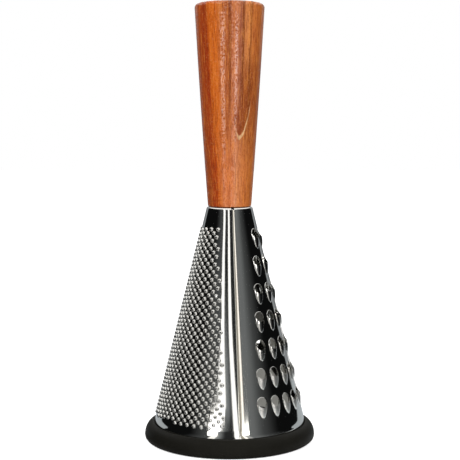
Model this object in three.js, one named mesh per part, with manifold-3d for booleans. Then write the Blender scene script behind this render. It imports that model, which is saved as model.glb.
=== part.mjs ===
// A cone grater: a rolled stainless steel cone with three grating zones, a turned acacia handle
// screwed on from inside the cone, and a rubber ring pushed on to the cone's lower edge.
// Millimetres, +Z up. The origin is on the table, under the middle of the rubber ring.
// Angles round the cone are measured from the front (-Y) towards +X.

import * as THREE from 'three';
import { mergeVertices } from 'three/addons/utils/BufferGeometryUtils.js';
import Module from 'manifold-3d';

// Fits and thicknesses
const CLEARANCE = 0.3; // between pieces that seat on or in each other
const SHEET = 0.5; // steel sheet of the cone

// Rubber ring
const RING_RADIUS = 56; // at its widest
const RING_WALL = 6.6; // rubber outside the skirt, there
const RING_HEIGHT = 11.4;
const RING_WIDEST_HEIGHT = 3.1; // the bulge is widest this far above the table
const RING_FOOT_ROUND = 3; // round of the lower outer edge
const RING_CREST_WIDTH = 0.6; // flat crest between the groove and the bulge
const RING_FLOOR = 3.4; // rubber under the groove
const RING_LIP_WIDTH = 2.6; // inner lip, inside the cone
const RING_LIP_HEIGHT = 9;
const RING_LIP_ROUND = 1;

// Steel cone
const SKIRT_RADIUS = RING_RADIUS - RING_WALL; // the upright skirt that stands in the ring
const KNEE_RISE = 1.6; // above the ring, where the wall's line meets the skirt's line
const KNEE_ROUND = 25; // radius of the bend between them
const CONE_RISE = 140; // height of the slanted wall
const CONE_TOP_RADIUS = 14.8; // where the wall's line meets the flat top
const SHOULDER_ROUND = 1.2; // radius of the edge turned in at the top
const FLANGE_HOLE_RADIUS = 8;
const SEAM_ANGLE = 7.5; // degrees
const SEAM_GROOVE_WIDTH = 0.6;
const SEAM_GROOVE_DEPTH = 0.25;
const SEAM_FOLD_WIDTH = 5; // the folded edges lie inside, behind the groove
const SEAM_FOLD_HEIGHT = 0.9;
const SEAM_FOLD_END_MARGIN = 6; // left clear at each end of the wall

// Three zones of teeth share the wall, a third of the turn each, counted from the seam.
// Distances along the wall run down from its top edge.
const ZONE_TURN = 120; // degrees
const ZONE_MARGIN = 15; // degrees left plain on each side of the two borders that have no seam

const COARSE = {
  mouthRadius: 3.4, // the round opening
  mouthSides: 8,
  lipDrop: 2.5, // from the middle of the mouth down to the cutting lip
  lipWidth: 6,
  lipHeight: 1.7,
  tail: 9.9, // from the middle of the mouth down to the tip of the scoop
  scoopSides: 6,
  firstRow: 17.5,
  rowPitch: 17.85,
  lastRowMargin: 12,
  seamStrip: 15.7, // from the seam to the middle of the first column
  columnPitch: 10.3,
};
const MEDIUM = {
  mouthRadius: 2.2,
  mouthSides: 4,
  lipDrop: 1.4,
  lipWidth: 4,
  lipHeight: 1.3,
  tail: 6.5,
  scoopSides: 4,
  firstRow: 17.5,
  rowPitch: 16,
  lastRowMargin: 11,
  columnPitch: 10,
};
const FINE = {
  baseRadius: 1.4,
  height: 0.85,
  sides: 3,
  pitchAlong: 3.37, // the two steps of the stud lattice in the flat sheet
  pitchAcross: 3.65,
  turn: 33.3, // degrees between the lattice and the seam
  firstRow: 13.7,
  lastRowMargin: 4.6,
  seamStrip: 9.85,
};

// Fixing inside the cone
const PLATE_THICKNESS = 1;
const PLATE_INSET = 1.2; // between the plate's edge and the wall
const WASHER_RADIUS = 6.5;
const WASHER_THICKNESS = 1;
const SCREW_RADIUS = 2.2;
const SCREW_HEAD_RADIUS = 4.6;
const SCREW_HEAD_HEIGHT = 3;
const SCREW_GRIP = 40; // length of the screw in the wood
const SCREW_POINT = 6;

// Turned handle
const HANDLE_LENGTH = 130.4;
const HANDLE_FOOT_INSET = 0.6; // the cone's top edge stands out past the handle's foot
const HANDLE_FOOT_RADIUS = CONE_TOP_RADIUS - HANDLE_FOOT_INSET;
const HANDLE_TOP_RADIUS = 22.55;
const HANDLE_BULGE = 0.25; // the side swells this much over a straight taper
const HANDLE_FOOT_ROUND = 0.7;
const HANDLE_TOP_ROUND = 2.8;

// Facets
const CONE_FACETS = 32;
const TURNED_FACETS = 32;
const SMALL_FACETS = 20;
const ROUND_STEPS = 2; // steps in a small rounded edge
const SWEEP_STEPS = 6; // steps in a long curve of a profile

const wasm = await Module();
wasm.setup();

// A closed geometry as a solid: shared corners merged, empty triangles dropped.
function solidFrom(geometry) {
  const bare = new THREE.BufferGeometry();
  bare.setAttribute('position', geometry.getAttribute('position'));
  bare.setIndex(geometry.getIndex());
  const merged = mergeVertices(bare, 1e-4);
  const corners = merged.getIndex().array;
  const triangles = [];
  for (let i = 0; i < corners.length; i += 3) {
    const [a, b, c] = [corners[i], corners[i + 1], corners[i + 2]];
    if (a !== b && b !== c && c !== a) {
      triangles.push(a, b, c);
    }
  }
  return new wasm.Manifold(new wasm.Mesh({
    numProp: 3,
    vertProperties: Float32Array.from(merged.getAttribute('position').array),
    triVerts: Uint32Array.from(triangles),
  }));
}

function geometryFrom(solid) {
  const mesh = solid.getMesh();
  const geometry = new THREE.BufferGeometry();
  geometry.setAttribute('position', new THREE.BufferAttribute(mesh.vertProperties, 3));
  geometry.setIndex(new THREE.BufferAttribute(mesh.triVerts, 1));
  geometry.computeVertexNormals();
  return geometry;
}

const union = (solids) => solids.reduce((joined, next) => joined.add(next));

// A profile of [radius, height] points turned about the Z axis. The points run upwards outside.
function turned(points, facets, { closed = true, start = 0 } = {}) {
  const profile = points.map(([radius, height]) => new THREE.Vector2(radius, height));
  if (closed) {
    profile.push(profile[0].clone());
  }
  return solidFrom(new THREE.LatheGeometry(profile, facets, start).rotateX(Math.PI / 2));
}

// Points of an ellipse's arc about a centre, from one angle to another in degrees.
function arc(centreRadius, centreHeight, across, up, from, to, steps) {
  return Array.from({ length: steps + 1 }, (_, i) => {
    const angle = THREE.MathUtils.degToRad(from + ((to - from) * i) / steps);
    return [centreRadius + across * Math.cos(angle), centreHeight + up * Math.sin(angle)];
  });
}

// Heights that the pieces share
const kneeHeight = RING_HEIGHT + KNEE_RISE;
const coneTop = kneeHeight + CONE_RISE;
const flangeUnderside = coneTop - SHEET;
const plateTop = flangeUnderside - CLEARANCE;
const plateUnderside = plateTop - PLATE_THICKNESS;
const washerTop = plateUnderside - CLEARANCE;
const washerUnderside = washerTop - WASHER_THICKNESS;
const headTop = washerUnderside - CLEARANCE;
const handleFoot = coneTop + CLEARANCE;
const handleTop = handleFoot + HANDLE_LENGTH;
const pointHeight = handleFoot + SCREW_GRIP;

// The wall of the cone: its slope, and its length from the top edge to the knee
const wallSpread = SKIRT_RADIUS - CONE_TOP_RADIUS;
const wallLength = Math.hypot(CONE_RISE, wallSpread);
const slope = Math.atan2(wallSpread, CONE_RISE); // from the axis
const slopeDegrees = THREE.MathUtils.radToDeg(slope);
const slantToTop = CONE_TOP_RADIUS / Math.sin(slope); // from the cone's apex to the top edge
const seam = THREE.MathUtils.degToRad(SEAM_ANGLE);
const facetTurn = (2 * Math.PI) / CONE_FACETS;
const firstEdge = seam - facetTurn / 2; // the seam runs down the middle of a facet
const zoneTurn = THREE.MathUtils.degToRad(ZONE_TURN);
const zoneMargin = THREE.MathUtils.degToRad(ZONE_MARGIN);

const throughSheet = 4 * SHEET; // long enough to pass right through it
const rooted = 0.7 * SHEET; // how deep raised teeth root in it

const wallRadius = (distance) => CONE_TOP_RADIUS + distance * Math.sin(slope);

// The wall is drawn in flat facets, whose middles lie a little inside the true cone.
function facetShare(angle) {
  const fromMiddle = THREE.MathUtils.euclideanModulo(angle - firstEdge, facetTurn) - facetTurn / 2;
  return Math.cos(facetTurn / 2) / Math.cos(fromMiddle);
}

// Places a tooth drawn flat (x across, y up the wall, z outwards) on the wall.
function onWall(distance, angle) {
  const radius = wallRadius(distance) * facetShare(angle);
  const round = new THREE.Vector3(Math.sin(angle), -Math.cos(angle), 0);
  const across = new THREE.Vector3(Math.cos(angle), Math.sin(angle), 0);
  const up = round.clone().multiplyScalar(-Math.sin(slope)).setZ(Math.cos(slope));
  const out = new THREE.Vector3().crossVectors(across, up);
  const place = round.multiplyScalar(radius).setZ(coneTop - distance * Math.cos(slope));
  return new THREE.Matrix4().makeBasis(across, up, out).setPosition(place);
}

// Half a cone lying on the sheet: an arch at the cutting lip that runs out at the tip below it.
// Under the sheet's surface it goes down by depth.
function scoop({ tail, scoopSides }, width, height, depth, length) {
  const body = new THREE.ConeGeometry(1, length, scoopSides).rotateZ(Math.PI);
  body.computeBoundingBox();
  const widen = width / 2 / body.boundingBox.max.x;
  const place = body.getAttribute('position');
  for (let i = 0; i < place.count; i += 1) {
    const level = place.getZ(i);
    const abovePlane = level > 0.1;
    place.setX(i, place.getX(i) * widen);
    place.setZ(i, abovePlane ? level * height : -depth);
  }
  return solidFrom(body.translate(0, length / 2 - tail, 0));
}

// One solid repeated on the wall; the places are [distance, angle] pairs.
const everywhere = (solid, places) => union(
  places.map(([distance, angle]) => solid.transform(onWall(distance, angle).toArray())),
);

// Cuts the round mouths and raises a scoop below each.
function cutTeeth(wall, tooth, places) {
  const mouth = solidFrom(new THREE.CylinderGeometry(
    tooth.mouthRadius, tooth.mouthRadius, throughSheet, tooth.mouthSides,
  ).rotateX(Math.PI / 2));
  const raised = scoop(tooth, tooth.lipWidth, tooth.lipHeight, rooted, tooth.tail - tooth.lipDrop);
  return wall.subtract(everywhere(mouth, places)).add(everywhere(raised, places));
}

// Hollows the scoops out to the sheet's thickness, so that the lip is a thin edge over a passage.
function hollowTeeth(wall, tooth, places) {
  const tail = tooth.tail - ((tooth.tail - tooth.lipDrop) * SHEET) / tooth.lipHeight;
  const length = tail - tooth.lipDrop + SHEET; // carried on a little past the lip
  const grown = length / (length - SHEET);
  const width = (tooth.lipWidth - 2 * SHEET) * grown;
  const height = (tooth.lipHeight - SHEET) * grown;
  return wall.subtract(everywhere(scoop({ ...tooth, tail }, width, height, throughSheet, length), places));
}

// Distances of the rows that fit between a zone's first row and the foot of the wall.
function rowsOf({ firstRow, rowPitch, lastRowMargin }) {
  const room = wallLength - lastRowMargin - firstRow;
  const count = Math.floor(room / rowPitch) + 1;
  return Array.from({ length: count }, (_, row) => firstRow + row * rowPitch);
}

function coarsePlaces() {
  return rowsOf(COARSE).flatMap((distance) => {
    const radius = wallRadius(distance);
    const room = radius * (zoneTurn - zoneMargin) - COARSE.mouthRadius - COARSE.seamStrip;
    const count = Math.floor(room / COARSE.columnPitch) + 1;
    return Array.from({ length: count }, (_, column) => {
      const along = COARSE.seamStrip + column * COARSE.columnPitch;
      return [distance, seam + along / radius];
    });
  });
}

function mediumPlaces() {
  const middle = seam + 1.5 * zoneTurn;
  return rowsOf(MEDIUM).flatMap((distance, row) => {
    const radius = wallRadius(distance);
    const room = radius * (zoneTurn - 2 * zoneMargin) - 2 * MEDIUM.mouthRadius;
    const stagger = (row % 2) / 2;
    const half = Math.floor(room / MEDIUM.columnPitch / 2 - stagger);
    const columns = [];
    for (let column = -half - 2 * stagger; column <= half; column += 1) {
      columns.push(column + stagger);
    }
    return columns.map((column) => [distance, middle + (column * MEDIUM.columnPitch) / radius]);
  });
}

// The studs stand on a turned lattice in the flat sheet, so the sheet is unrolled to place them.
function finePlaces() {
  const turn = THREE.MathUtils.degToRad(FINE.turn);
  const first = slantToTop + FINE.firstRow;
  const last = slantToTop + wallLength - FINE.lastRowMargin;
  const reach = Math.ceil(last / Math.min(FINE.pitchAlong, FINE.pitchAcross));
  const places = [];
  for (let i = -reach; i <= reach; i += 1) {
    for (let j = -reach; j <= reach; j += 1) {
      const along = i * FINE.pitchAlong;
      const aside = j * FINE.pitchAcross;
      const x = along * Math.sin(turn) - aside * Math.cos(turn) - FINE.seamStrip;
      const y = along * Math.cos(turn) + aside * Math.sin(turn) + first;
      const slant = Math.hypot(x, y);
      const angle = Math.atan2(x, y) / Math.sin(slope);
      if (slant >= first && slant <= last && x <= -FINE.seamStrip && angle >= zoneMargin - zoneTurn) {
        places.push([slant - slantToTop, seam + angle]);
      }
    }
  }
  return places;
}

function raiseStuds(wall) {
  const grown = FINE.baseRadius * (1 + rooted / FINE.height);
  const stud = solidFrom(new THREE.ConeGeometry(grown, FINE.height + rooted, FINE.sides)
    .rotateX(Math.PI / 2)
    .translate(0, 0, (FINE.height - rooted) / 2));
  return wall.add(everywhere(stud, finePlaces()));
}

// A bar along the seam, drawn by its width and its lowest and highest level on the wall.
function seamBar(width, from, to, low, high) {
  const bar = new THREE.BoxGeometry(width, to - from, high - low);
  bar.translate(0, -(to - from) / 2, (low + high) / 2);
  return solidFrom(bar.applyMatrix4(onWall(from, seam)));
}

// The sheet's outer line from the skirt's foot to the flange, and its inner line back again.
function coneProfile() {
  const kneeTangent = KNEE_ROUND * Math.tan(slope / 2);
  const shoulderTangent = SHOULDER_ROUND * Math.tan(Math.PI / 4 - slope / 2);
  const skirtFoot = RING_FLOOR + CLEARANCE;
  const line = (inward) => [
    [SKIRT_RADIUS - inward, skirtFoot],
    ...arc(
      SKIRT_RADIUS - KNEE_ROUND, kneeHeight - kneeTangent,
      KNEE_ROUND - inward, KNEE_ROUND - inward, 0, slopeDegrees, ROUND_STEPS,
    ),
    ...arc(
      CONE_TOP_RADIUS - shoulderTangent, coneTop - SHOULDER_ROUND,
      SHOULDER_ROUND - inward, SHOULDER_ROUND - inward, slopeDegrees, 90, ROUND_STEPS,
    ),
    [FLANGE_HOLE_RADIUS, coneTop - inward],
  ];
  return [...line(0), ...line(SHEET).reverse()];
}

function buildCone() {
  const groove = seamBar(SEAM_GROOVE_WIDTH, 0, wallLength, -SEAM_GROOVE_DEPTH, SEAM_GROOVE_DEPTH);
  const fold = seamBar(
    SEAM_FOLD_WIDTH, SEAM_FOLD_END_MARGIN, wallLength - SEAM_FOLD_END_MARGIN,
    -SHEET - SEAM_FOLD_HEIGHT, -SHEET / 2,
  );
  let wall = turned(coneProfile(), CONE_FACETS, { start: firstEdge });
  wall = wall.add(fold).subtract(groove);
  wall = cutTeeth(wall, COARSE, coarsePlaces());
  wall = hollowTeeth(wall, COARSE, coarsePlaces());
  wall = cutTeeth(wall, MEDIUM, mediumPlaces());
  return raiseStuds(wall);
}

// The ring holds the skirt in a groove between its bulge and its inner lip.
function buildRing() {
  const grooveOuter = SKIRT_RADIUS + CLEARANCE;
  const grooveInner = SKIRT_RADIUS - SHEET - CLEARANCE;
  const crest = grooveOuter + RING_CREST_WIDTH;
  const lipInside = grooveInner - RING_LIP_WIDTH;
  const lipShoulder = RING_LIP_HEIGHT - RING_LIP_ROUND;
  return turned([
    ...arc(
      RING_RADIUS - RING_FOOT_ROUND, RING_WIDEST_HEIGHT,
      RING_FOOT_ROUND, RING_WIDEST_HEIGHT, -90, 0, ROUND_STEPS,
    ),
    ...arc(
      crest, RING_WIDEST_HEIGHT,
      RING_RADIUS - crest, RING_HEIGHT - RING_WIDEST_HEIGHT, 0, 90, SWEEP_STEPS,
    ).slice(1),
    [grooveOuter, RING_HEIGHT],
    [grooveOuter, RING_FLOOR],
    [grooveInner, RING_FLOOR],
    [grooveInner, RING_LIP_HEIGHT],
    ...arc(lipInside + RING_LIP_ROUND, lipShoulder, RING_LIP_ROUND, RING_LIP_ROUND, 90, 180, ROUND_STEPS),
    ...arc(lipInside + RING_LIP_ROUND, RING_LIP_ROUND, RING_LIP_ROUND, RING_LIP_ROUND, 180, 270, ROUND_STEPS),
  ], TURNED_FACETS);
}

// A turned taper with a spigot that centres it in the flange's hole, and a hole for the screw.
function buildHandle() {
  const spigotRadius = FLANGE_HOLE_RADIUS - CLEARANCE;
  const screwHole = SCREW_RADIUS + CLEARANCE;
  const side = Array.from({ length: SWEEP_STEPS + 1 }, (_, i) => {
    const share = i / SWEEP_STEPS;
    const straight = HANDLE_FOOT_RADIUS + (HANDLE_TOP_RADIUS - HANDLE_FOOT_RADIUS) * share;
    const low = handleFoot + HANDLE_FOOT_ROUND;
    const high = handleTop - HANDLE_TOP_ROUND;
    return [straight + HANDLE_BULGE * 4 * share * (1 - share), low + (high - low) * share];
  });
  return turned([
    [0, pointHeight + CLEARANCE],
    [screwHole, pointHeight - SCREW_POINT],
    [screwHole, flangeUnderside],
    [spigotRadius, flangeUnderside],
    [spigotRadius, handleFoot],
    ...arc(
      HANDLE_FOOT_RADIUS - HANDLE_FOOT_ROUND, handleFoot + HANDLE_FOOT_ROUND,
      HANDLE_FOOT_ROUND, HANDLE_FOOT_ROUND, -90, 0, ROUND_STEPS,
    ).slice(0, -1),
    ...side,
    ...arc(
      HANDLE_TOP_RADIUS - HANDLE_TOP_ROUND, handleTop - HANDLE_TOP_ROUND,
      HANDLE_TOP_ROUND, HANDLE_TOP_ROUND, 0, 90, ROUND_STEPS,
    ).slice(1),
    [0, handleTop],
  ], TURNED_FACETS, { closed: false });
}

function buildPlate() {
  const depth = coneTop - plateUnderside;
  const radius = wallRadius(depth / Math.cos(slope)) - SHOULDER_ROUND - PLATE_INSET;
  const hole = SCREW_RADIUS + CLEARANCE;
  return turned([
    [hole, plateUnderside], [radius, plateUnderside], [radius, plateTop], [hole, plateTop],
  ], TURNED_FACETS);
}

function buildWasher() {
  const hole = SCREW_RADIUS + CLEARANCE;
  return turned([
    [hole, washerUnderside], [WASHER_RADIUS, washerUnderside],
    [WASHER_RADIUS, washerTop], [hole, washerTop],
  ], SMALL_FACETS);
}

// A pan-head screw, driven upwards into the wood.
function buildScrew() {
  const headRound = SCREW_HEAD_HEIGHT / 2;
  return turned([
    [0, headTop - SCREW_HEAD_HEIGHT],
    ...arc(
      SCREW_HEAD_RADIUS - headRound, headTop - SCREW_HEAD_HEIGHT + headRound,
      headRound, headRound, -90, 0, ROUND_STEPS,
    ),
    [SCREW_HEAD_RADIUS, headTop],
    [SCREW_RADIUS, headTop],
    [SCREW_RADIUS, pointHeight - SCREW_POINT],
    [0, pointHeight],
  ], SMALL_FACETS, { closed: false });
}

const acacia = new THREE.MeshStandardMaterial({ color: 0xb5653a, roughness: 0.4, metalness: 0 });
const polishedSteel = new THREE.MeshStandardMaterial({ color: 0xc9cbcd, roughness: 0.12, metalness: 1 });
const zincSteel = new THREE.MeshStandardMaterial({ color: 0xa9abad, roughness: 0.35, metalness: 1 });
const blackRubber = new THREE.MeshStandardMaterial({ color: 0x1d1a19, roughness: 0.6, metalness: 0 });

const coneGrater = new THREE.Group();

function addPiece(name, solid, material) {
  const mesh = new THREE.Mesh(geometryFrom(solid), material);
  mesh.name = name;
  coneGrater.add(mesh);
}

addPiece('base_ring', buildRing(), blackRubber);
addPiece('grater_cone', buildCone(), polishedSteel);
addPiece('top_plate', buildPlate(), zincSteel);
addPiece('screw_washer', buildWasher(), zincSteel);
addPiece('handle_screw', buildScrew(), zincSteel);
addPiece('handle', buildHandle(), acacia);

export default coneGrater;
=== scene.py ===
import math

import bmesh
import bpy
from mathutils import Matrix, Vector


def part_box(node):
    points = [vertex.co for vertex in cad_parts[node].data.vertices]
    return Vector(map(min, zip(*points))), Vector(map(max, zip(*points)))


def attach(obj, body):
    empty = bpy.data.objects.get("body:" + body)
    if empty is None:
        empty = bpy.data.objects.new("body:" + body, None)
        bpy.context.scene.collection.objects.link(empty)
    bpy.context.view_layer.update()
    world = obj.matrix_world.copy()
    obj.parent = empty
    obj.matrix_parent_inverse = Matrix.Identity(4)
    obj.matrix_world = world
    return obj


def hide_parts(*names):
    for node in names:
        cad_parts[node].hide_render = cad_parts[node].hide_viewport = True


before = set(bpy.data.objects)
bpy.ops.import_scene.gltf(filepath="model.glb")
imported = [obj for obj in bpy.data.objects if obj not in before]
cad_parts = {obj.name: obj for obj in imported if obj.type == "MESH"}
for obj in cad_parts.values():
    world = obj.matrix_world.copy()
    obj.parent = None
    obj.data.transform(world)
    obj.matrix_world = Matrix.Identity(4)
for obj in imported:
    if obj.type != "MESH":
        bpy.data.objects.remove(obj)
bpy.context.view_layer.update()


# Rubber base ring. A moulded ring of black rubber, stretched on to the cone's lower edge.
# Its bulge outside and its lip inside leave a groove that grips the upright skirt of the sheet.

MM = 0.001
CLEARANCE = 0.3 * MM
SHEET = 0.5 * MM
SKIRT_RADIUS = 49.4 * MM
ring_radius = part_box("base_ring")[1].x
ring_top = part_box("base_ring")[1].z
RING_WIDEST_HEIGHT = 3.1 * MM
RING_FOOT_ROUND = 3 * MM
RING_CREST = 0.6 * MM
RING_CREST_ROUND = 0.25 * MM
RING_FLOOR = 3.4 * MM
RING_LIP_WIDTH = 2.6 * MM
RING_LIP_HEIGHT = 9 * MM
RING_LIP_ROUND = 1 * MM
RING_COLUMNS = 160
RING_FOOT_STEPS = 10
RING_BULGE_STEPS = 20
RING_CREST_STEPS = 4
RING_LIP_STEPS = 6
SHARP_EDGE = math.radians(50)
WELD = 0.001 * MM


class Wire:
    """A socket of a material. Arithmetic on wires and numbers adds the Math nodes for it."""

    def __init__(self, tree, socket=None):
        self.tree = tree
        self.socket = socket

    def node(self, kind, settings, links, output=0):
        made = self.tree.nodes.new("ShaderNode" + kind)
        for name, value in settings.items():
            if name == "stops":
                ramp = made.color_ramp
                while len(ramp.elements) < len(value):
                    ramp.elements.new(0.5)
                for stop, (place, colour) in zip(ramp.elements, value):
                    stop.position = place
                    stop.color = colour
            else:
                setattr(made, name, value)
        for name, value in links.items():
            sockets = [s for s in made.inputs if name in (s.identifier, s.name)]
            socket = made.inputs[name] if isinstance(name, int) else sockets[0]
            if isinstance(value, Wire):
                self.tree.links.new(value.socket, socket)
            else:
                socket.default_value = value
        return Wire(self.tree, made.outputs[output])

    def math(self, operation, *values):
        return self.node("Math", {"operation": operation}, dict(enumerate(values)))

    def __add__(self, other):
        return self.math("ADD", self, other)

    __radd__ = __add__

    def __sub__(self, other):
        return self.math("SUBTRACT", self, other)

    def __rsub__(self, other):
        return self.math("SUBTRACT", other, self)

    def __mul__(self, other):
        return self.math("MULTIPLY", self, other)

    __rmul__ = __mul__

    def __truediv__(self, other):
        return self.math("DIVIDE", self, other)

    def __abs__(self):
        return self.math("ABSOLUTE", self)

    def at_least(self, other):
        return self.math("MAXIMUM", self, other)

    def step(self, start, end):
        """0 below start, 1 above end, and smooth between them."""
        links = {"Value": self, "From Min": start, "From Max": end}
        return self.node("MapRange", {"interpolation_type": "SMOOTHSTEP"}, links)

    def band(self, start, full, fade, end):
        """1 from full to fade, 0 before start and after end, and smooth between them."""
        return self.step(start, full) * self.step(end, fade)

    def mix(self, low, high):
        """The colour low where this wire is 0, high where it is 1."""
        links = {"Factor_Float": self, "A_Color": low, "B_Color": high}
        return self.node("Mix", {"data_type": "RGBA"}, links, 2)

    def noise(self, stretch, detail=3, roughness=0.5):
        """Noise between 0 and 1 at this place; stretch gives its waves per metre on each axis."""
        scaled = self.node("Mapping", {}, {"Vector": self, "Scale": stretch})
        links = {"Vector": scaled, "Scale": 1, "Detail": detail, "Roughness": roughness}
        return self.node("TexNoise", {}, links)


def paint(code):
    """A linear colour from the code of the colour as it is seen."""
    shares = [int(code[i:i + 2], 16) / 255 for i in (1, 3, 5)]
    return (*[c / 12.92 if c <= 0.04045 else ((c + 0.055) / 1.055) ** 2.4 for c in shares], 1)


def new_material(name):
    """A material, the place on the piece as a wire, and the material's shader."""
    material = bpy.data.materials.new(name)
    material.use_nodes = True
    shader = material.node_tree.nodes["Principled BSDF"]
    place = Wire(material.node_tree).node("TexCoord", {}, {}, 3)
    return material, place, shader


def axes_of(place):
    """The three coordinates of a place, in metres."""
    node = place.node("SeparateXYZ", {}, {"Vector": place}).socket.node
    return [Wire(place.tree, socket) for socket in node.outputs]


def plug(wire, shader, name):
    """Links a wire to one of the shader's inputs."""
    wire.tree.links.new(wire.socket, shader.inputs[name])


def bump(height, strength, distance, shader):
    """Fine relief on the surface from a height between 0 and 1."""
    links = {"Height": height, "Strength": strength, "Distance": distance}
    plug(height.node("Bump", {}, links), shader, "Normal")


def arc(radius, height, across, up, start, end, steps):
    """Points of an ellipse's arc in a turned profile; the angles are in degrees."""
    turns = [math.radians(start + (end - start) * i / steps) for i in range(steps + 1)]
    return [(radius + across * math.cos(a), height + up * math.sin(a)) for a in turns]


def turned(profile, columns, closed, start=0.0):
    """A profile of radius and height turned about the Z axis, from an angle off the front."""
    bm = bmesh.new()
    corners = [bm.verts.new((r * math.sin(start), -r * math.cos(start), z)) for r, z in profile]
    edges = [bm.edges.new(pair) for pair in zip(corners, corners[1:])]
    if closed:
        edges.append(bm.edges.new((corners[-1], corners[0])))
    bmesh.ops.spin(
        bm, geom=corners + edges, cent=(0, 0, 0), axis=(0, 0, 1), angle=2 * math.pi,
        steps=columns, use_merge=True,
    )
    bmesh.ops.remove_doubles(bm, verts=bm.verts, dist=WELD)
    bmesh.ops.recalc_face_normals(bm, faces=bm.faces)
    return bm


def new_piece(name, bm, material):
    """A smooth-shaded object at the origin, whose place is in its mesh."""
    mesh = bpy.data.meshes.new(name)
    bm.to_mesh(mesh)
    bm.free()
    mesh.materials.append(material)
    mesh.shade_smooth()
    piece = bpy.data.objects.new(name, mesh)
    bpy.context.scene.collection.objects.link(piece)
    return piece


def make_rubber():
    """Satin black with faint clouds of colour and a fine moulded grain."""
    material, place, shader = new_material("satin_black_rubber")
    clouds = place.noise((60, 60, 60))
    grain = place.noise((2600, 2600, 2600), 2)
    plug(clouds.mix(paint("#12110e"), paint("#1b1a16")), shader, "Base Color")
    plug(0.42 + 0.12 * clouds + 0.06 * grain, shader, "Roughness")
    shader.inputs["Specular IOR Level"].default_value = 0.05
    bump(grain, 0.25, 0.1 * MM, shader)
    return material


groove_outer = SKIRT_RADIUS + CLEARANCE
groove_inner = SKIRT_RADIUS - SHEET - CLEARANCE
ring_crest = groove_outer + RING_CREST
lip_middle = groove_inner - RING_LIP_WIDTH + RING_LIP_ROUND
ring_profile = [
    *arc(
        ring_radius - RING_FOOT_ROUND, RING_WIDEST_HEIGHT,
        RING_FOOT_ROUND, RING_WIDEST_HEIGHT, -90, 0, RING_FOOT_STEPS,
    ),
    *arc(
        ring_crest, RING_WIDEST_HEIGHT,
        ring_radius - ring_crest, ring_top - RING_WIDEST_HEIGHT, 0, 90, RING_BULGE_STEPS,
    )[1:],
    *arc(
        groove_outer + RING_CREST_ROUND, ring_top - RING_CREST_ROUND,
        RING_CREST_ROUND, RING_CREST_ROUND, 90, 180, RING_CREST_STEPS,
    ),
    (groove_outer, RING_FLOOR),
    (groove_inner, RING_FLOOR),
    (groove_inner, RING_LIP_HEIGHT),
    *arc(
        lip_middle, RING_LIP_HEIGHT - RING_LIP_ROUND,
        RING_LIP_ROUND, RING_LIP_ROUND, 90, 180, RING_LIP_STEPS,
    ),
    *arc(
        lip_middle, RING_LIP_ROUND,
        RING_LIP_ROUND, RING_LIP_ROUND, 180, 270, RING_LIP_STEPS,
    ),
]
ring = new_piece("rubber_ring", turned(ring_profile, RING_COLUMNS, True), make_rubber())
ring.data.set_sharp_from_angle(angle=SHARP_EDGE)
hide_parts("base_ring")
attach(ring, "base")


# Steel cone. One sheet of polished stainless steel, punched flat with three zones of teeth, rolled
# to a cone and closed at a seam whose edges are folded in. Its lower edge is an upright skirt that
# stands in the rubber ring, and its upper edge is turned in to carry the handle.

KNEE_RISE = 1.6 * MM
KNEE_ROUND = 25 * MM
CONE_TOP_RADIUS = 14.8 * MM
SHOULDER_ROUND = 1.2 * MM
FLANGE_HOLE_RADIUS = 8 * MM
KNEE_STEPS = 10
SHOULDER_STEPS = 8
SEAM = math.radians(7.5)
WALL_ROWS = 18
WALL_END = 0.006
NEAR_COLUMNS = 14
FAR_COLUMNS = 58
CONE_COLUMNS = 2 * (NEAR_COLUMNS + FAR_COLUMNS) + 1
GROOVE_STEP = 0.35 * MM
NEAR_STEP = 0.5 * MM
GROOVE_COLUMNS = 4
GROOVE_DEPTH = 0.42 * MM
FOLD_HALF_WIDTH = 2.5 * MM
FOLD_HEIGHT = 0.9 * MM
FOLD_END_MARGIN = 6 * MM

skirt_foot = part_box("grater_cone")[0].z
cone_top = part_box("grater_cone")[1].z
knee_height = ring_top + KNEE_RISE
wall_rise = cone_top - knee_height
wall_spread = SKIRT_RADIUS - CONE_TOP_RADIUS
wall_length = math.hypot(wall_rise, wall_spread)
slope = math.atan2(wall_spread, wall_rise)
slant_to_top = CONE_TOP_RADIUS / math.sin(slope)


def cone_line(inward):
    """The sheet's outline from the skirt's foot up to the hole in the flange."""
    knee_drop = KNEE_ROUND * math.tan(slope / 2)
    shoulder_inset = SHOULDER_ROUND * math.tan(math.pi / 4 - slope / 2)
    bend = arc(
        SKIRT_RADIUS - KNEE_ROUND, knee_height - knee_drop,
        KNEE_ROUND - inward, KNEE_ROUND - inward, 0, math.degrees(slope), KNEE_STEPS,
    )
    shoulder = arc(
        CONE_TOP_RADIUS - shoulder_inset, cone_top - SHOULDER_ROUND,
        SHOULDER_ROUND - inward, SHOULDER_ROUND - inward,
        math.degrees(slope), 90, SHOULDER_STEPS,
    )
    foot, head = Vector(bend[-1]), Vector(shoulder[0])
    shares = [WALL_END, *[i / WALL_ROWS for i in range(1, WALL_ROWS)], 1 - WALL_END]
    wall = [tuple(foot.lerp(head, share)) for share in shares]
    return [
        (SKIRT_RADIUS - inward, skirt_foot), *bend, *wall, *shoulder,
        (FLANGE_HOLE_RADIUS, cone_top - inward),
    ]


def from_seam(point):
    """The angle of a point round the axis, counted from the seam."""
    angle = math.atan2(point.x, -point.y) - SEAM
    return (angle + math.pi) % (2 * math.pi) - math.pi


def depth_in_wall(point):
    """How far a point lies inside the wall's outer line."""
    radius = math.hypot(point.x, point.y)
    line = CONE_TOP_RADIUS + (cone_top - point.z) * math.tan(slope)
    return (line - radius) * math.cos(slope)


def turn_to(point, angle, radius):
    """Moves a point level with itself, to an angle from the seam and a distance from the axis."""
    point.x = radius * math.sin(SEAM + angle)
    point.y = -radius * math.cos(SEAM + angle)


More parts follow.
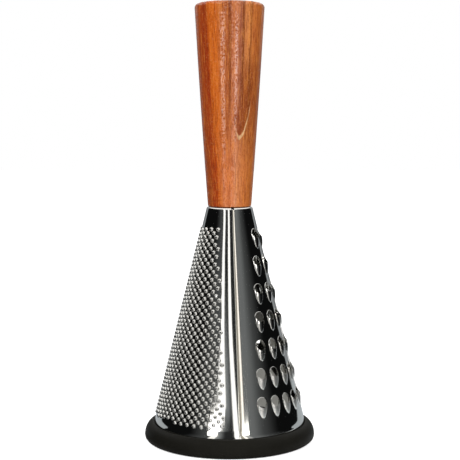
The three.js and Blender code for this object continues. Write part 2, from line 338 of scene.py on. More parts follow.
def comb_columns(bm):
    """Gathers the columns next to the seam, parallel to it, and spreads the others evenly."""
    pitch = 2 * math.pi / CONE_COLUMNS
    for vert in bm.verts:
        radius = math.hypot(vert.co.x, vert.co.y)
        column = round(from_seam(vert.co) / pitch)
        number = abs(column)
        fine = min(number, GROOVE_COLUMNS)
        near = min(number, NEAR_COLUMNS)
        angle = (fine * GROOVE_STEP + (near - fine) * NEAR_STEP) / radius
        if number > near:
            rest = math.pi - angle
            angle += rest * (number - near) / (FAR_COLUMNS + 0.5)
        turn_to(vert.co, math.copysign(angle, column), radius)


def press_seam(bm):
    """Sinks the groove of the seam into the outside and raises the folded edges inside."""
    for vert in bm.verts:
        radius = math.hypot(vert.co.x, vert.co.y)
        angle = from_seam(vert.co)
        aside = abs(angle * radius)
        inside = depth_in_wall(vert.co) > SHEET / 2
        down = cone_top - vert.co.z
        in_fold = FOLD_END_MARGIN < down < wall_rise - FOLD_END_MARGIN
        if not inside and aside < 0.5 * GROOVE_STEP and vert.co.z > skirt_foot + SHEET:
            turn_to(vert.co, angle, radius - GROOVE_DEPTH)
        if inside and in_fold and aside < FOLD_HALF_WIDTH:
            turn_to(vert.co, angle, radius - FOLD_HEIGHT)


def on_wall(distance, angle):
    """Places a tooth drawn flat (x across, y up the wall, z outwards) on the wall."""
    radius = CONE_TOP_RADIUS + distance * math.sin(slope)
    outward = Vector((math.sin(SEAM + angle), -math.cos(SEAM + angle), 0))
    across = Vector((math.cos(SEAM + angle), math.sin(SEAM + angle), 0))
    up = Vector((0, 0, math.cos(slope))) - outward * math.sin(slope)
    place = outward * radius + Vector((0, 0, cone_top - distance * math.cos(slope)))
    turn = Matrix((across, up, across.cross(up))).transposed().to_4x4()
    return Matrix.Translation(place) @ turn


def new_tool(name, bm):
    """A solid for joining or cutting, which combine takes away again."""
    tool = bpy.data.objects.new(name, bpy.data.meshes.new(name))
    bm.to_mesh(tool.data)
    bm.free()
    bpy.context.scene.collection.objects.link(tool)
    return tool


def everywhere(name, single, places):
    """One small solid bent to the wall's curve at each place, all in one tool."""
    shape = bpy.data.meshes.new(name)
    bm = bmesh.new()
    for distance, angle in places:
        curve = math.cos(slope) / (CONE_TOP_RADIUS + distance * math.sin(slope))
        bent = single.copy()
        for vert in bent.verts:
            vert.co.z -= vert.co.x ** 2 * curve / 2
        bmesh.ops.transform(bent, matrix=on_wall(distance, angle), verts=bent.verts)
        bent.to_mesh(shape)
        bent.free()
        bm.from_mesh(shape)
    single.free()
    return new_tool(name, bm)


def combine(piece, operation, tool):
    """Joins a tool to the piece or cuts it out, and keeps the outcome as the piece's mesh."""
    change = piece.modifiers.new(tool.name, "BOOLEAN")
    change.operation = operation
    change.solver = "MANIFOLD"
    change.object = tool
    view = bpy.context.evaluated_depsgraph_get()
    mesh = bpy.data.meshes.new_from_object(piece.evaluated_get(view))
    piece.modifiers.clear()
    piece.data = mesh
    bpy.data.objects.remove(tool)


SCOOP_NARROWING = 0.63
SCOOP_FALL = 0.9
SCOOP_ARCH = 1.1
SCOOP_GRID = (10, 9)
HOLLOW_GRID = (6, 5)


def scoop(width, height, depth, lip, tip, columns, rows):
    """Half a teardrop lying on the sheet: an arch at the lip that runs out at the tip below it."""
    bm = bmesh.new()
    bmesh.ops.create_grid(bm, x_segments=columns, y_segments=rows, size=1)
    top = list(bm.verts)
    under = bmesh.ops.extrude_face_region(bm, geom=bm.faces[:])
    bottom = [part for part in under["geom"] if isinstance(part, bmesh.types.BMVert)]
    for vert in top + bottom:
        arch = vert.co.x * math.pi / 2
        share = (1 - vert.co.y) / 2
        left_over = max(1 - share * share, 0)
        taper = left_over ** SCOOP_NARROWING
        level = height * left_over ** SCOOP_FALL * max(math.cos(arch), 0) ** SCOOP_ARCH
        vert.co = (width / 2 * taper * math.sin(arch), lip + (tip - lip) * share, level)
    for vert in bottom:
        vert.co.z = -depth
    bmesh.ops.remove_doubles(bm, verts=bm.verts, dist=WELD / 10)
    bmesh.ops.recalc_face_normals(bm, faces=bm.faces)
    return bm


def rod(radius, low, high, sides):
    """A round punch."""
    bm = bmesh.new()
    bmesh.ops.create_cone(
        bm, cap_ends=True, segments=sides, radius1=radius, radius2=radius, depth=high - low,
    )
    bmesh.ops.translate(bm, verts=bm.verts, vec=(0, 0, (high + low) / 2))
    return bm


THROUGH = 2 * MM
ROOT = 0.35 * MM
MOUTH_SIDES = 24
NOTCH_WIDTH = 1.9 * MM
NOTCH_DROP = 1.3 * MM


def seam_notch():
    """The gap that the two folded edges leave across the rim and the flange."""
    inner, outer = FLANGE_HOLE_RADIUS - THROUGH, CONE_TOP_RADIUS + THROUGH
    bm = bmesh.new()
    bmesh.ops.create_cube(bm, size=1)
    bmesh.ops.scale(bm, verts=bm.verts, vec=(NOTCH_WIDTH, outer - inner, 2 * NOTCH_DROP))
    bmesh.ops.translate(bm, verts=bm.verts, vec=(0, -(outer + inner) / 2, cone_top))
    bmesh.ops.rotate(bm, verts=bm.verts, cent=(0, 0, 0), matrix=Matrix.Rotation(SEAM, 3, "Z"))
    return bm


def mouth_rim(radius):
    """The edge of a mouth, drawn a little outwards by the punch."""
    outline = [(-0.3, -1), (0.24, -1), (0.22, 0.05), (0.16, 0.3), (0.04, 0.42), (-0.3, 0.42)]
    return turned([(radius + out * MM, up * ROOT) for out, up in outline], MOUTH_SIDES, True)


def cut_teeth(cone, name, tooth, places):
    """Raised scoops hollowed to the sheet's thickness, with a round mouth punched into each."""
    tip, radius = -tooth["tail"], tooth["mouth_radius"]
    width, height = tooth["scoop_width"], tooth["scoop_height"]
    raised = scoop(width, height, ROOT, 0, tip, *SCOOP_GRID)
    combine(cone, "UNION", everywhere(name + "_scoops", raised, places))
    combine(cone, "UNION", everywhere(name + "_rims", mouth_rim(radius), places))
    hollow_tip = tip * (1 - SHEET / height)
    hollow = scoop(width - 2 * SHEET, height - SHEET, THROUGH, SHEET, hollow_tip, *HOLLOW_GRID)
    combine(cone, "DIFFERENCE", everywhere(name + "_hollows", hollow, places))
    mouth = rod(radius, -THROUGH, 2 * THROUGH, MOUTH_SIDES)
    combine(cone, "DIFFERENCE", everywhere(name + "_mouths", mouth, places))


def rows_of(tooth):
    """How far down the wall each row of teeth lies."""
    room = wall_length - tooth["last_row_margin"] - tooth["first_row"]
    count = math.floor(room / tooth["row_pitch"]) + 1
    return [tooth["first_row"] + row * tooth["row_pitch"] for row in range(count)]


ZONE_TURN = math.radians(120)
ZONE_MARGIN = math.radians(15)
COARSE = {
    "mouth_radius": 3.3 * MM,
    "scoop_width": 7 * MM,
    "scoop_height": 1.8 * MM,
    "tail": 10.2 * MM,
    "first_row": 17.3 * MM,
    "row_pitch": 17.85 * MM,
    "last_row_margin": 12 * MM,
    "seam_strip": 14.95 * MM,
    "column_pitch": 10.3 * MM,
    "lean": 2.3 * MM,
}
MEDIUM = {
    "mouth_radius": 2.2 * MM,
    "scoop_width": 4.9 * MM,
    "scoop_height": 1.3 * MM,
    "tail": 6.5 * MM,
    "first_row": 17.5 * MM,
    "row_pitch": 16 * MM,
    "last_row_margin": 11 * MM,
    "column_pitch": 10 * MM,
}


def coarse_places():
    """Level rows, in columns that run beside the seam and lean away from it towards the top."""
    places = []
    for distance in rows_of(COARSE):
        radius = CONE_TOP_RADIUS + distance * math.sin(slope)
        room = radius * (ZONE_TURN - ZONE_MARGIN) - COARSE["mouth_radius"] - COARSE["seam_strip"]
        for column in range(math.floor(room / COARSE["column_pitch"]) + 1):
            along = COARSE["seam_strip"] + column * COARSE["column_pitch"]
            along += COARSE["lean"] * (1 - distance / wall_length)
            places.append((distance, along / radius))
    return places


def medium_places():
    """Staggered rows about the middle of the back."""
    places = []
    for row, distance in enumerate(rows_of(MEDIUM)):
        radius = CONE_TOP_RADIUS + distance * math.sin(slope)
        room = radius * (ZONE_TURN - 2 * ZONE_MARGIN) - 2 * MEDIUM["mouth_radius"]
        stagger = (row % 2) / 2
        half = math.floor(room / MEDIUM["column_pitch"] / 2 - stagger)
        for step in range(round(2 * half + 2 * stagger) + 1):
            along = (step - half - stagger) * MEDIUM["column_pitch"]
            places.append((distance, 1.5 * ZONE_TURN + along / radius))
    return places


STUD_ALONG = (1.929 * MM, 2.862 * MM)
STUD_ASIDE = (-3.117 * MM, 1.998 * MM)
STUD_FIRST_ROW = 13.7 * MM
STUD_LAST_MARGIN = 4.6 * MM
STUD_SEAM_STRIP = 9.85 * MM
STUD_RADIUS = 1.43 * MM
STUD_HEIGHT = 0.85 * MM
STUD_BORE = 0.55 * MM
STUD_FLARE = 1.08
STUD_SIDES = 10


def stud_places():
    """A turned lattice in the flat sheet, rolled on to the wall."""
    first = slant_to_top + STUD_FIRST_ROW
    last = slant_to_top + wall_length - STUD_LAST_MARGIN
    reach = math.ceil(last / STUD_ALONG[1])
    places = []
    for i in range(-reach, reach + 1):
        for j in range(-reach, reach + 1):
            x = i * STUD_ALONG[0] + j * STUD_ASIDE[0] - STUD_SEAM_STRIP
            y = i * STUD_ALONG[1] + j * STUD_ASIDE[1] + first
            slant = math.hypot(x, y)
            angle = math.atan2(x, y) / math.sin(slope)
            in_zone = ZONE_MARGIN - ZONE_TURN <= angle and x <= -STUD_SEAM_STRIP
            if in_zone and first <= slant <= last:
                places.append((slant - slant_to_top, angle))
    return places


def stud():
    """A small dome pushed out of the sheet, open at the top where the punch broke through."""
    outline = [(1, 0.02), (0.87, 0.55), (0.6, 0.92)]
    profile = [
        (STUD_BORE, -ROOT), (STUD_FLARE * STUD_RADIUS, -ROOT),
        *[(STUD_RADIUS * out, STUD_HEIGHT * up) for out, up in outline],
        (STUD_BORE, STUD_HEIGHT),
    ]
    return turned(profile, STUD_SIDES, True)


TOOTH_DULLNESS = 0.38
DULL_RISE = (0.3 * MM, 0.5 * MM)
DULL_ZONE = (-113, -111, 3, 6)
DULL_FOOT = (80 * MM, 45 * MM)
PUNCHED_EDGE = math.radians(40)


def angle_round(x, y):
    """Degrees round the axis, counted from the front to the right."""
    return x.math("ARCTAN2", x, -1 * y) * math.degrees(1)


def make_steel():
    """Polished sheet. The punch left the studs and the teeth low down duller than the wall."""
    material, place, shader = new_material("polished_steel")
    shader.inputs["Metallic"].default_value = 1
    polish = place.noise((900, 900, 40), 4)
    smear = place.noise((35, 35, 22), 2)
    plug(smear.mix(paint("#cbcac6"), paint("#d4d3ce")), shader, "Base Color")
    x, y, z = axes_of(place)
    reach = x * x + y * y
    line = CONE_TOP_RADIUS + (cone_top - z) * math.tan(slope)
    raised = reach.math("SQRT", reach) - line
    worn = angle_round(x, y).band(*DULL_ZONE).at_least(z.step(*DULL_FOOT))
    dulled = raised.step(*DULL_RISE) * worn
    plug(0.05 + 0.05 * polish * smear + TOOTH_DULLNESS * dulled, shader, "Roughness")
    return material


steel = make_steel()
profile = cone_line(0) + cone_line(SHEET)[::-1]
wall = turned(profile, CONE_COLUMNS, True, SEAM)
comb_columns(wall)
press_seam(wall)
cone = new_piece("pressed_cone", wall, steel)
combine(cone, "DIFFERENCE", new_tool("notch", seam_notch()))
cut_teeth(cone, "coarse", COARSE, coarse_places())
cut_teeth(cone, "medium", MEDIUM, medium_places())
combine(cone, "UNION", everywhere("studs", stud(), stud_places()))
bore = rod(STUD_BORE, -THROUGH, ROOT, STUD_SIDES)
combine(cone, "DIFFERENCE", everywhere("bores", bore, stud_places()))
cone.data.shade_smooth()
cone.data.set_sharp_from_angle(angle=PUNCHED_EDGE)
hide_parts("grater_cone")
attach(cone, "grater")


# Top plate and washer. Stamped discs of zinc-plated steel under the cone's flange, with edges
# broken by the press. They spread the load of the screw that goes up through them.

SCREW_HOLE = 2.5 * MM
STAMPED_EDGE = 0.2 * MM
DISC_COLUMNS = 72
FIXING_EDGE = math.radians(35)


def make_zinc():
    """Dull bright plating with a soft spangle."""
    material, place, shader = new_material("zinc_plate")
    shader.inputs["Metallic"].default_value = 1
    spangle = place.noise((300, 300, 300), 2)
    plug(spangle.mix(paint("#a5a7a9"), paint("#c0c1bd")), shader, "Base Color")
    plug(0.28 + 0.18 * spangle, shader, "Roughness")
    bump(place.noise((1800, 1800, 1800), 2), 0.15, 0.05 * MM, shader)
    return material


def fit_fixing(piece, node):
    """Finishes a piece of the hidden fixing, which moves with the cone."""
    piece.data.set_sharp_from_angle(angle=FIXING_EDGE)
    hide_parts(node)
    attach(piece, "grater")


def add_disc(name, node):
    """A flat disc with a hole for the screw, as wide and as thick as its node."""
    low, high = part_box(node)
    profile = [
        (SCREW_HOLE + STAMPED_EDGE, low.z), (high.x - STAMPED_EDGE, low.z),
        (high.x, low.z + STAMPED_EDGE), (high.x, high.z), (SCREW_HOLE, high.z),
        (SCREW_HOLE, low.z + STAMPED_EDGE),
    ]
    fit_fixing(new_piece(name, turned(profile, DISC_COLUMNS, True), zinc), node)


zinc = make_zinc()
add_disc("stamped_plate", "top_plate")
add_disc("flat_washer", "screw_washer")


# Handle screw. A zinc-plated pan-head wood screw with a cross recess, driven from inside the cone
# up into the handle. Its shank is turned with the head and its thread is wound on to it.

SCREW_RADIUS = 2.2 * MM
SCREW_CORE = 1.7 * MM
SCREW_HEAD_HEIGHT = 3 * MM
SCREW_HEAD_STEPS = 8
SCREW_POINT = 6 * MM
SCREW_COLUMNS = 48
THREAD_ROOT = 1.5 * MM
THREAD_PITCH = 1.8 * MM
THREAD_WIDTH = 0.9 * THREAD_PITCH
THREAD_SIDES = 16
THREAD_TURNS = 17
RECESS_WIDTH = 1 * MM
RECESS_LENGTH = 4.8 * MM
RECESS_DEPTH = 1.8 * MM

screw_low, screw_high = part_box("handle_screw")
head_top = screw_low.z + SCREW_HEAD_HEIGHT
shank_top = screw_high.z - SCREW_POINT
head_round = SCREW_HEAD_HEIGHT / 2


def cross_recess():
    """The two slots of the recess in the head's underside."""
    bm = bmesh.new()
    for size in ((RECESS_WIDTH, RECESS_LENGTH), (RECESS_LENGTH, RECESS_WIDTH)):
        made = bmesh.ops.create_cube(bm, size=1)["verts"]
        bmesh.ops.scale(bm, verts=made, vec=(*size, 2 * RECESS_DEPTH))
        bmesh.ops.translate(bm, verts=made, vec=(0, 0, screw_low.z))
    return bm


def wound_thread():
    """A ridge wound up the shank from just above the head's plain neck, closed at both ends."""
    start = shank_top - (THREAD_TURNS + 1) * THREAD_PITCH
    ridge = [(THREAD_ROOT, 0), (SCREW_RADIUS, THREAD_WIDTH / 2), (THREAD_ROOT, THREAD_WIDTH)]
    bm = bmesh.new()
    corners = [bm.verts.new((r, 0, start + z)) for r, z in ridge]
    edges = [bm.edges.new(pair) for pair in zip(corners, corners[1:] + corners[:1])]
    wound = bmesh.ops.spin(
        bm, geom=corners + edges, cent=(0, 0, 0), axis=(0, 0, 1),
        dvec=(0, 0, THREAD_PITCH / THREAD_SIDES), angle=2 * math.pi * THREAD_TURNS,
        steps=THREAD_SIDES * THREAD_TURNS, use_merge=False,
    )
    bm.faces.new(corners)
    bm.faces.new([part for part in wound["geom_last"] if isinstance(part, bmesh.types.BMVert)])
    bmesh.ops.recalc_face_normals(bm, faces=bm.faces)
    return bm


screw_profile = [
    (0, screw_low.z),
    *arc(
        screw_high.x - head_round, screw_low.z + head_round,
        head_round, head_round, -90, 0, SCREW_HEAD_STEPS,
    ),
    (screw_high.x, head_top), (SCREW_CORE, head_top), (SCREW_CORE, shank_top), (0, screw_high.z),
]
screw = new_piece("pan_screw", turned(screw_profile, SCREW_COLUMNS, False), zinc)
combine(screw, "DIFFERENCE", new_tool("recess", cross_recess()))
combine(screw, "UNION", new_tool("thread", wound_thread()))
screw.data.shade_smooth()
fit_fixing(screw, "handle_screw")


# Handle. Solid acacia, turned to a taper that widens upwards and oiled to a soft gloss. It stands
# on the cone's flange, centred by a spigot, and the screw holds it from below.

HANDLE_FOOT_RADIUS = 14.2 * MM
HANDLE_BULGE = 0.25 * MM
HANDLE_FOOT_ROUND = 0.7 * MM
HANDLE_TOP_ROUND = 2.8 * MM
HANDLE_FOOT_STEPS = 6
HANDLE_SIDE_STEPS = 24
HANDLE_TOP_STEPS = 12
HANDLE_COLUMNS = 128
handle_foot = cone_top + CLEARANCE
handle_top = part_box("handle")[1].z
handle_top_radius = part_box("handle")[1].x
spigot_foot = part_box("handle")[0].z
spigot_radius = FLANGE_HOLE_RADIUS - CLEARANCE
HEART_TURN = math.radians(22)
DARK_LINES = ((0.5, 0.034, 195), (0.7, 0.03, 205), (0.82, 0.02, 190))


def handle_side():
    """The tapered side, a little fuller in the middle than a straight line."""
    low, high = handle_foot + HANDLE_FOOT_ROUND, handle_top - HANDLE_TOP_ROUND
    points = []
    for step in range(HANDLE_SIDE_STEPS + 1):
        share = step / HANDLE_SIDE_STEPS
        straight = HANDLE_FOOT_RADIUS + (handle_top_radius - HANDLE_FOOT_RADIUS) * share
        radius = straight + HANDLE_BULGE * 4 * share * (1 - share)
        points.append((radius, low + (high - low) * share))
    return points


def make_acacia():
    """Lengthwise bands with a dark heart, a pale sap line and fine grain; lengths are in mm."""
    material, place, shader = new_material("oiled_acacia")
    x, y, z = [axis / MM for axis in axes_of(place)]
    foot, top = HANDLE_FOOT_RADIUS / MM, handle_top_radius / MM
    radius = foot + (top - foot) * (z - handle_foot / MM) / ((handle_top - handle_foot) / MM)

    # Bands of colour across the front, which differ between the upper and the lower half. In the
    # upper half the stops at 0.6 and 0.67 are partly wood and partly a painted highlight.
    drift = place.noise((40, 40, 7), 3) - 0.5
    low = z.step(215, 168)
    across = 0.5 + 0.5 * (x / radius) + 0.08 * drift - 0.06 * low
    upper = across.node("ValToRGB", {"stops": [
        (0.0, paint("#8d3e12")), (0.1, paint("#963406")), (0.165, paint("#922d05")),
        (0.2, paint("#bd5812")), (0.3, paint("#c25e18")), (0.36, paint("#b05e2a")),
        (0.45, paint("#9e5228")), (0.53, paint("#b56438")), (0.6, paint("#b06847")),
        (0.67, paint("#94543a")), (0.72, paint("#bb7040")), (0.79, paint("#ca7e44")),
        (0.86, paint("#b8652e")), (0.93, paint("#a75822")), (1.0, paint("#96552d")),
    ]}, {"Fac": across})
    lower = across.node("ValToRGB", {"stops": [
        (0.0, paint("#8a3a10")), (0.1, paint("#9c3506")), (0.175, paint("#a53d09")),
        (0.2, paint("#bf5a1a")), (0.3, paint("#c36c3b")), (0.5, paint("#c56e3e")),
        (0.55, paint("#d0865a")), (0.61, paint("#c97a48")), (0.66, paint("#c77642")),
        (0.74, paint("#c06b34")), (0.86, paint("#ae5e24")), (1.0, paint("#9a5a30")),
    ]}, {"Fac": across})
    colour = low.mix(upper, lower)

    # The darker heart that the taper cuts into, edged by a pale line of sap, a painted shade on the
    # right side about the middle of the height, and darker lines.
    depth = math.sin(HEART_TURN) * x - math.cos(HEART_TURN) * y
    depth = depth + 0.9 * (place.noise((110, 110, 30)) - 0.5)
    heart_side = (across - 0.16 * z.step(203, 222)).step(0.47, 0.57)
    heart = depth.step(17.38, 17.5) * z.step(250, 225) * heart_side
    colour = (0.8 * heart).mix(colour, paint("#833a18"))
    sap = depth.band(17.21, 17.29, 17.38, 17.47) * z.step(221, 215) * x.step(3, 6)
    # Painted shade: a darker brown patch on the right side, about the middle of the height.
    shadow = across.step(0.67, 0.77) * z.band(176, 198, 236, 256)
    colour = (0.45 * shadow).mix(colour, paint("#7d360f"))
    gaps = place.noise((50, 50, 90)).step(0.33, 0.4)
    colour = (0.8 * sap * gaps).mix(colour, paint("#dcb98a"))
    for middle, half, lowest in DARK_LINES:
        line = abs(across - middle).step(half, 0.3 * half)
        colour = (0.7 * line * z.step(lowest, lowest + 35)).mix(colour, paint("#642a10"))

    # Grain, from long streaks to fine pores, a ripple on the left, and flecks in the oil.
    streaks = place.noise((700, 700, 9), 4, 0.65)
    colour = (0.5 * streaks.step(0.5, 0.72)).mix(colour, paint("#7d3510"))
    colour = (0.3 * streaks.step(0.5, 0.3)).mix(colour, paint("#d8802a"))
    fibres = place.noise((1500, 1500, 70), 3, 0.6)
    colour = (0.5 * fibres.step(0.5, 0.68)).mix(colour, paint("#6a2b0c"))
    colour = (0.3 * fibres.step(0.5, 0.33)).mix(colour, paint("#de8e3c"))
    pores = place.noise((3200, 3200, 170), 1).step(0.66, 0.74)
    colour = (0.4 * pores).mix(colour, paint("#5b260d"))
    ripple = place.noise((130, 130, 800), 2).step(0.52, 0.7) * across.step(0.34, 0.2)
    colour = (0.45 * ripple * z.step(235, 190)).mix(colour, paint("#7c2f0b"))
    flecks = place.noise((1050, 1050, 800), 2, 0.65)
    colour = (0.13 * flecks.step(0.54, 0.66)).mix(colour, paint("#e0a070"))
    colour = (0.32 * flecks.step(0.46, 0.34)).mix(colour, paint("#6b2c0e"))
    plug(colour, shader, "Base Color")
    plug(0.46 + 0.15 * streaks, shader, "Roughness")
    plug(flecks.step(0.44, 0.55), shader, "Coat Weight")
    bump(0.5 * streaks + flecks - 0.4 * pores, 0.4, 0.12 * MM, shader)
    shader.inputs["Specular IOR Level"].default_value = 0.06
    shader.inputs["Coat IOR"].default_value = 1.52
    shader.inputs["Coat Roughness"].default_value = 0.13
    return material


handle_profile = [
    (0, screw_high.z + CLEARANCE), (SCREW_HOLE, shank_top), (SCREW_HOLE, spigot_foot),
    (spigot_radius, spigot_foot), (spigot_radius, handle_foot),
    *arc(
        HANDLE_FOOT_RADIUS - HANDLE_FOOT_ROUND, handle_foot + HANDLE_FOOT_ROUND,
        HANDLE_FOOT_ROUND, HANDLE_FOOT_ROUND, -90, 0, HANDLE_FOOT_STEPS,
    )[:-1],
    *handle_side(),
    *arc(
        handle_top_radius - HANDLE_TOP_ROUND, handle_top - HANDLE_TOP_ROUND,
        HANDLE_TOP_ROUND, HANDLE_TOP_ROUND, 0, 90, HANDLE_TOP_STEPS,
    )[1:],
    (0, handle_top),
]
handle = new_piece("turned_handle", turned(handle_profile, HANDLE_COLUMNS, False), make_acacia())
handle.data.set_sharp_from_angle(angle=SHARP_EDGE)
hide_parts("handle")
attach(handle, "grater")


# Studio. A white floor and surroundings and soft lamps. A curved card stands round the object and
# lies on the floor, black with white strips in front and grey behind. It shows only in the
# object's reflections.

FLOOR_DROP = 0.2 * MM
FLOOR_HALF_WIDTH = 6
FLOOR_COLOUR = (0.85, 0.85, 0.85, 1)
FLOOR_GLOW = (0.7, 0.7, 0.7, 1)
UNDER_CONE_REACH = (0.0027, 0.0022)
UNDER_CONE_FRONT = (-0.004, 0.018)
UNDER_CONE_PAINTED_GLOW = ((0.05, 0.05, 0.05, 1), (0.25, 0.25, 0.24, 1))
WORLD_LIGHT = (0.5, 0.5, 0.5, 1)
WHITE = (1, 1, 1, 1)
BLACK = (0, 0, 0, 1)
MIRRORED_WHITE = (1.5, 1.5, 1.5, 1)
CARD_RADIUS = 1.2
CARD_HEIGHT = 0.75
CARD_LIFT = 1 * MM
CARD_START = 0.06
CARD_STEPS = 72
FLOOR_CARD_TURN = math.radians(150)
FRONT_HALF = 132
STRIP_BEND = 0.451
WHITE_STRIP = (1.8, 1.8, 1.8, 1)
WARM_STRIP = (1.8, 1.7, 1.58, 1)
TAN_STRIP = (0.5, 0.46, 0.39, 1)
LEFT_BOX = (5.4, 5.3, 5.2, 1)
RIGHT_BOX = (7.4, 7.2, 7, 1)
COOL_GREY = (0.95, 1, 1.03, 1)
SIDE_GREYS = ((0.5, 0.54, 0.57, 1), (0.28, 0.29, 0.3, 1))
LOW_GREYS = ((0.34, 0.36, 0.38, 1), (0.2, 0.21, 0.22, 1))
LAMP_AIM = (0, 0, 0.15)
LAMP_SIZE = 0.9

scene = bpy.context.scene
scene.view_settings.view_transform = "Standard"


def ray_is(wire, *kinds):
    """1 for rays of these kinds, such as Is Camera Ray, and 0 for others."""
    path = wire.node("LightPath", {}, {}).socket.node
    found = Wire(wire.tree, path.outputs[kinds[0]])
    for kind in kinds[1:]:
        found = found.at_least(Wire(wire.tree, path.outputs[kind]))
    return found


world = bpy.data.worlds.new("studio")
scene.world = world
world.use_nodes = True
background = world.node_tree.nodes["Background"]
seen = ray_is(Wire(world.node_tree), "Is Camera Ray", "Is Glossy Ray", "Is Transmission Ray")
glossy = ray_is(Wire(world.node_tree), "Is Glossy Ray")
plug(glossy.mix(seen.mix(WORLD_LIGHT, WHITE), MIRRORED_WHITE), background, "Color")

floor_mesh = bmesh.new()
bmesh.ops.create_grid(floor_mesh, x_segments=1, y_segments=1, size=FLOOR_HALF_WIDTH)
bmesh.ops.translate(floor_mesh, verts=floor_mesh.verts, vec=(0, 0, -FLOOR_DROP))
floor_paint, floor_place, floor_shader = new_material("white_floor")
floor_shader.inputs["Base Color"].default_value = FLOOR_COLOUR
floor_shader.inputs["Roughness"].default_value = 0.9
floor_shader.inputs["Specular IOR Level"].default_value = 0
floor_shader.inputs["Emission Strength"].default_value = 1

# The floor looks white. Under the cone it shows in mirrors only as a painted glow, brighter
# towards the back, that stands for the faint light that falls in there.
watched, mirrored = ray_is(floor_place, "Is Camera Ray"), ray_is(floor_place, "Is Glossy Ray")
floor_x, floor_y = axes_of(floor_place)[:2]
inside = mirrored * (floor_x * floor_x + floor_y * floor_y).step(*UNDER_CONE_REACH)
painted_glow = floor_y.step(*UNDER_CONE_FRONT).mix(*UNDER_CONE_PAINTED_GLOW)
glow = inside.mix(watched.mix(BLACK, FLOOR_GLOW), painted_glow)
plug(glow, floor_shader, "Emission Color")
floor = new_piece("floor", floor_mesh, floor_paint)


def make_card():
    """The card's strips and greys, by the angle off the front and the height; angles in degrees."""
    material, place, shader = new_material("studio_card")
    x, y, z = axes_of(place)
    azimuth = angle_round(x, y)
    off_front = abs(azimuth)
    reach = x * x + y * y
    rise = z - STRIP_BEND
    above, below = rise.at_least(0), (-1 * rise).at_least(0)
    under = z.step(0.32, 0.27)
    far_under = under * reach.step(0.3, 0.6)

    # The strip left of the seam, which widens to a box at the foot, and the one next to the seam.
    left_edge = -17.5 - 56 * above - 95 * below - 8 * z.step(0.267, 0.24)
    left = azimuth - left_edge.at_least(-19.5 - 50 * above - 7 * under - 6 * far_under)
    right = -12 - 36 * above + (46 * below) * (1 - under) - 2 * under
    right = right - 4 * z.step(0.27, 0.25) - azimuth
    first = (left / (0.6 + 30 * below * (1 - under))).step(-1, 1) * right.step(-0.6, 0.6)
    lean = 1.9 - 25.7 * above + 46 * below
    second = abs(azimuth - lean.math("MINIMUM", lean, 10.5)).step(4.2, 3)

    # The strips right of the seam: tan, warm white, and a box at the foot.
    tan = azimuth.band(13.5, 15, 19, 20)
    third = azimuth.band(18.5, 19.5, 22, 23)
    low = azimuth.band(18, 20, 28, 30) * z.step(0.28, 0.255)
    low = low * (0.2 + 0.8 * z.step(0.02, 0.12))

    # Faint greys beside and between the strips.
    grey = azimuth.step(22, 25) * (0.13 * azimuth.step(54, 32) + 0.08 * azimuth.step(80, 45))
    between = 0.022 * azimuth.band(-45, -20, 20, 30)
    shade = 0.3 * right.step(-13, 0) * right.step(0.6, -0.6) * rise.step(0.12, -0.1)
    floor_near = 1.2 * z.step(0.02, 0.01) * reach.step(0.0112, 0.0102) * azimuth.step(-30, -5)
    dusk = 0.07 * azimuth.band(-62 - 28 * z.step(0.6, 0.66), -34, -20, -10)
    colour = (0.006 + between + dusk + shade + grey + floor_near).mix(BLACK, COOL_GREY)
    colour = tan.mix(colour, TAN_STRIP)
    colour = third.mix(colour, WARM_STRIP)
    colour = second.mix(colour, WHITE_STRIP)
    fade = 0.22 + 0.78 * z.step(-0.02, 0.1)
    colour = (fade * first).mix(colour, under.mix(WHITE_STRIP, LEFT_BOX))
    colour = (fade * low).mix(colour, under.mix(WHITE_STRIP, RIGHT_BOX))

    # The pale greys to the sides and behind, dimmer low down, with a white gap at the back.
    beyond = off_front - (FRONT_HALF - 40 * reach.step(0.16, 0.011))
    dim = z.step(0.35, 0.3) * reach.step(0.3, 0.6)
    behind = off_front.step(140, 168).mix(*SIDE_GREYS)
    behind = off_front.step(167, 171).mix(behind, MIRRORED_WHITE)
    dimmed = off_front.step(140, 150).mix(*LOW_GREYS)
    colour = beyond.step(0, 1).mix(colour, dim.mix(behind, dimmed))
    shader.inputs["Base Color"].default_value = BLACK
    shader.inputs["Specular IOR Level"].default_value = 0
    shader.inputs["Emission Strength"].default_value = 1
    plug(colour, shader, "Emission Color")
    return material


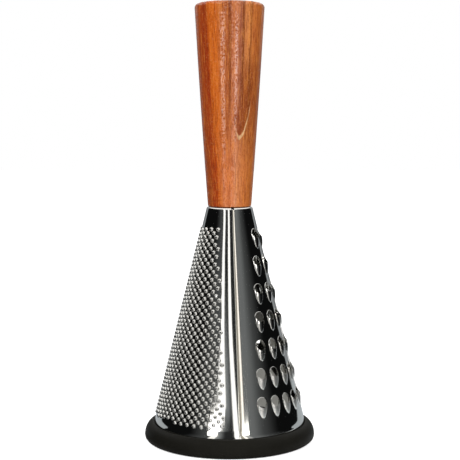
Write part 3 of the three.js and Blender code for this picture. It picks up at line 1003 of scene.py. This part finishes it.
def add_card(name, corners, start, end, material):
    """A line of corners (radius, height) turned from one angle off the front to another."""
    bm = bmesh.new()
    posts = [bm.verts.new((r * math.sin(start), -r * math.cos(start), z)) for r, z in corners]
    edges = [bm.edges.new(pair) for pair in zip(posts, posts[1:])]
    bmesh.ops.spin(
        bm, geom=posts + edges, cent=(0, 0, 0), axis=(0, 0, 1), angle=end - start,
        steps=CARD_STEPS, use_merge=False,
    )
    card = new_piece(name, bm, material)
    card.visible_camera = False
    card.visible_diffuse = False
    card.visible_shadow = False
    card.visible_transmission = False


card_paint = make_card()
upright = [(CARD_RADIUS, CARD_LIFT), (CARD_RADIUS, CARD_HEIGHT)]
lying = [(CARD_START, CARD_LIFT), (CARD_RADIUS, CARD_LIFT)]
add_card("upright_card", upright, -math.pi, math.pi, card_paint)
add_card("floor_card", lying, -FLOOR_CARD_TURN, FLOOR_CARD_TURN, card_paint)


def add_lamp(name, place, power):
    """A soft square lamp that lights the object and doesn't show in its reflections."""
    data = bpy.data.lights.new(name, "AREA")
    data.size = LAMP_SIZE
    data.energy = power
    lamp = bpy.data.objects.new(name, data)
    lamp.location = place
    lamp.rotation_euler = (Vector(LAMP_AIM) - Vector(place)).to_track_quat("-Z", "Y").to_euler()
    lamp.visible_glossy = False
    scene.collection.objects.link(lamp)


add_lamp("key", (-0.9, -1.2, 1.2), 17)
add_lamp("fill", (1.1, -1.0, 0.9), 11)
add_lamp("back", (0.4, 1.5, 1.1), 9)


# Camera. At the photograph's viewing angle, a little above the object's middle and looking slightly
# down, with a long lens on a square picture.

CAMERA_PLACE = (0.00026, -0.7309, 0.19785)
CAMERA_PITCH = math.radians(90 - 4.713)
CAMERA_LENS = 87.72
SENSOR_WIDTH = 36

lens = bpy.data.cameras.new("camera")
lens.lens = CAMERA_LENS
lens.sensor_width = SENSOR_WIDTH
camera = bpy.data.objects.new("camera", lens)
camera.location = CAMERA_PLACE
camera.rotation_euler = (CAMERA_PITCH, 0, 0)
scene.collection.objects.link(camera)
scene.camera = camera
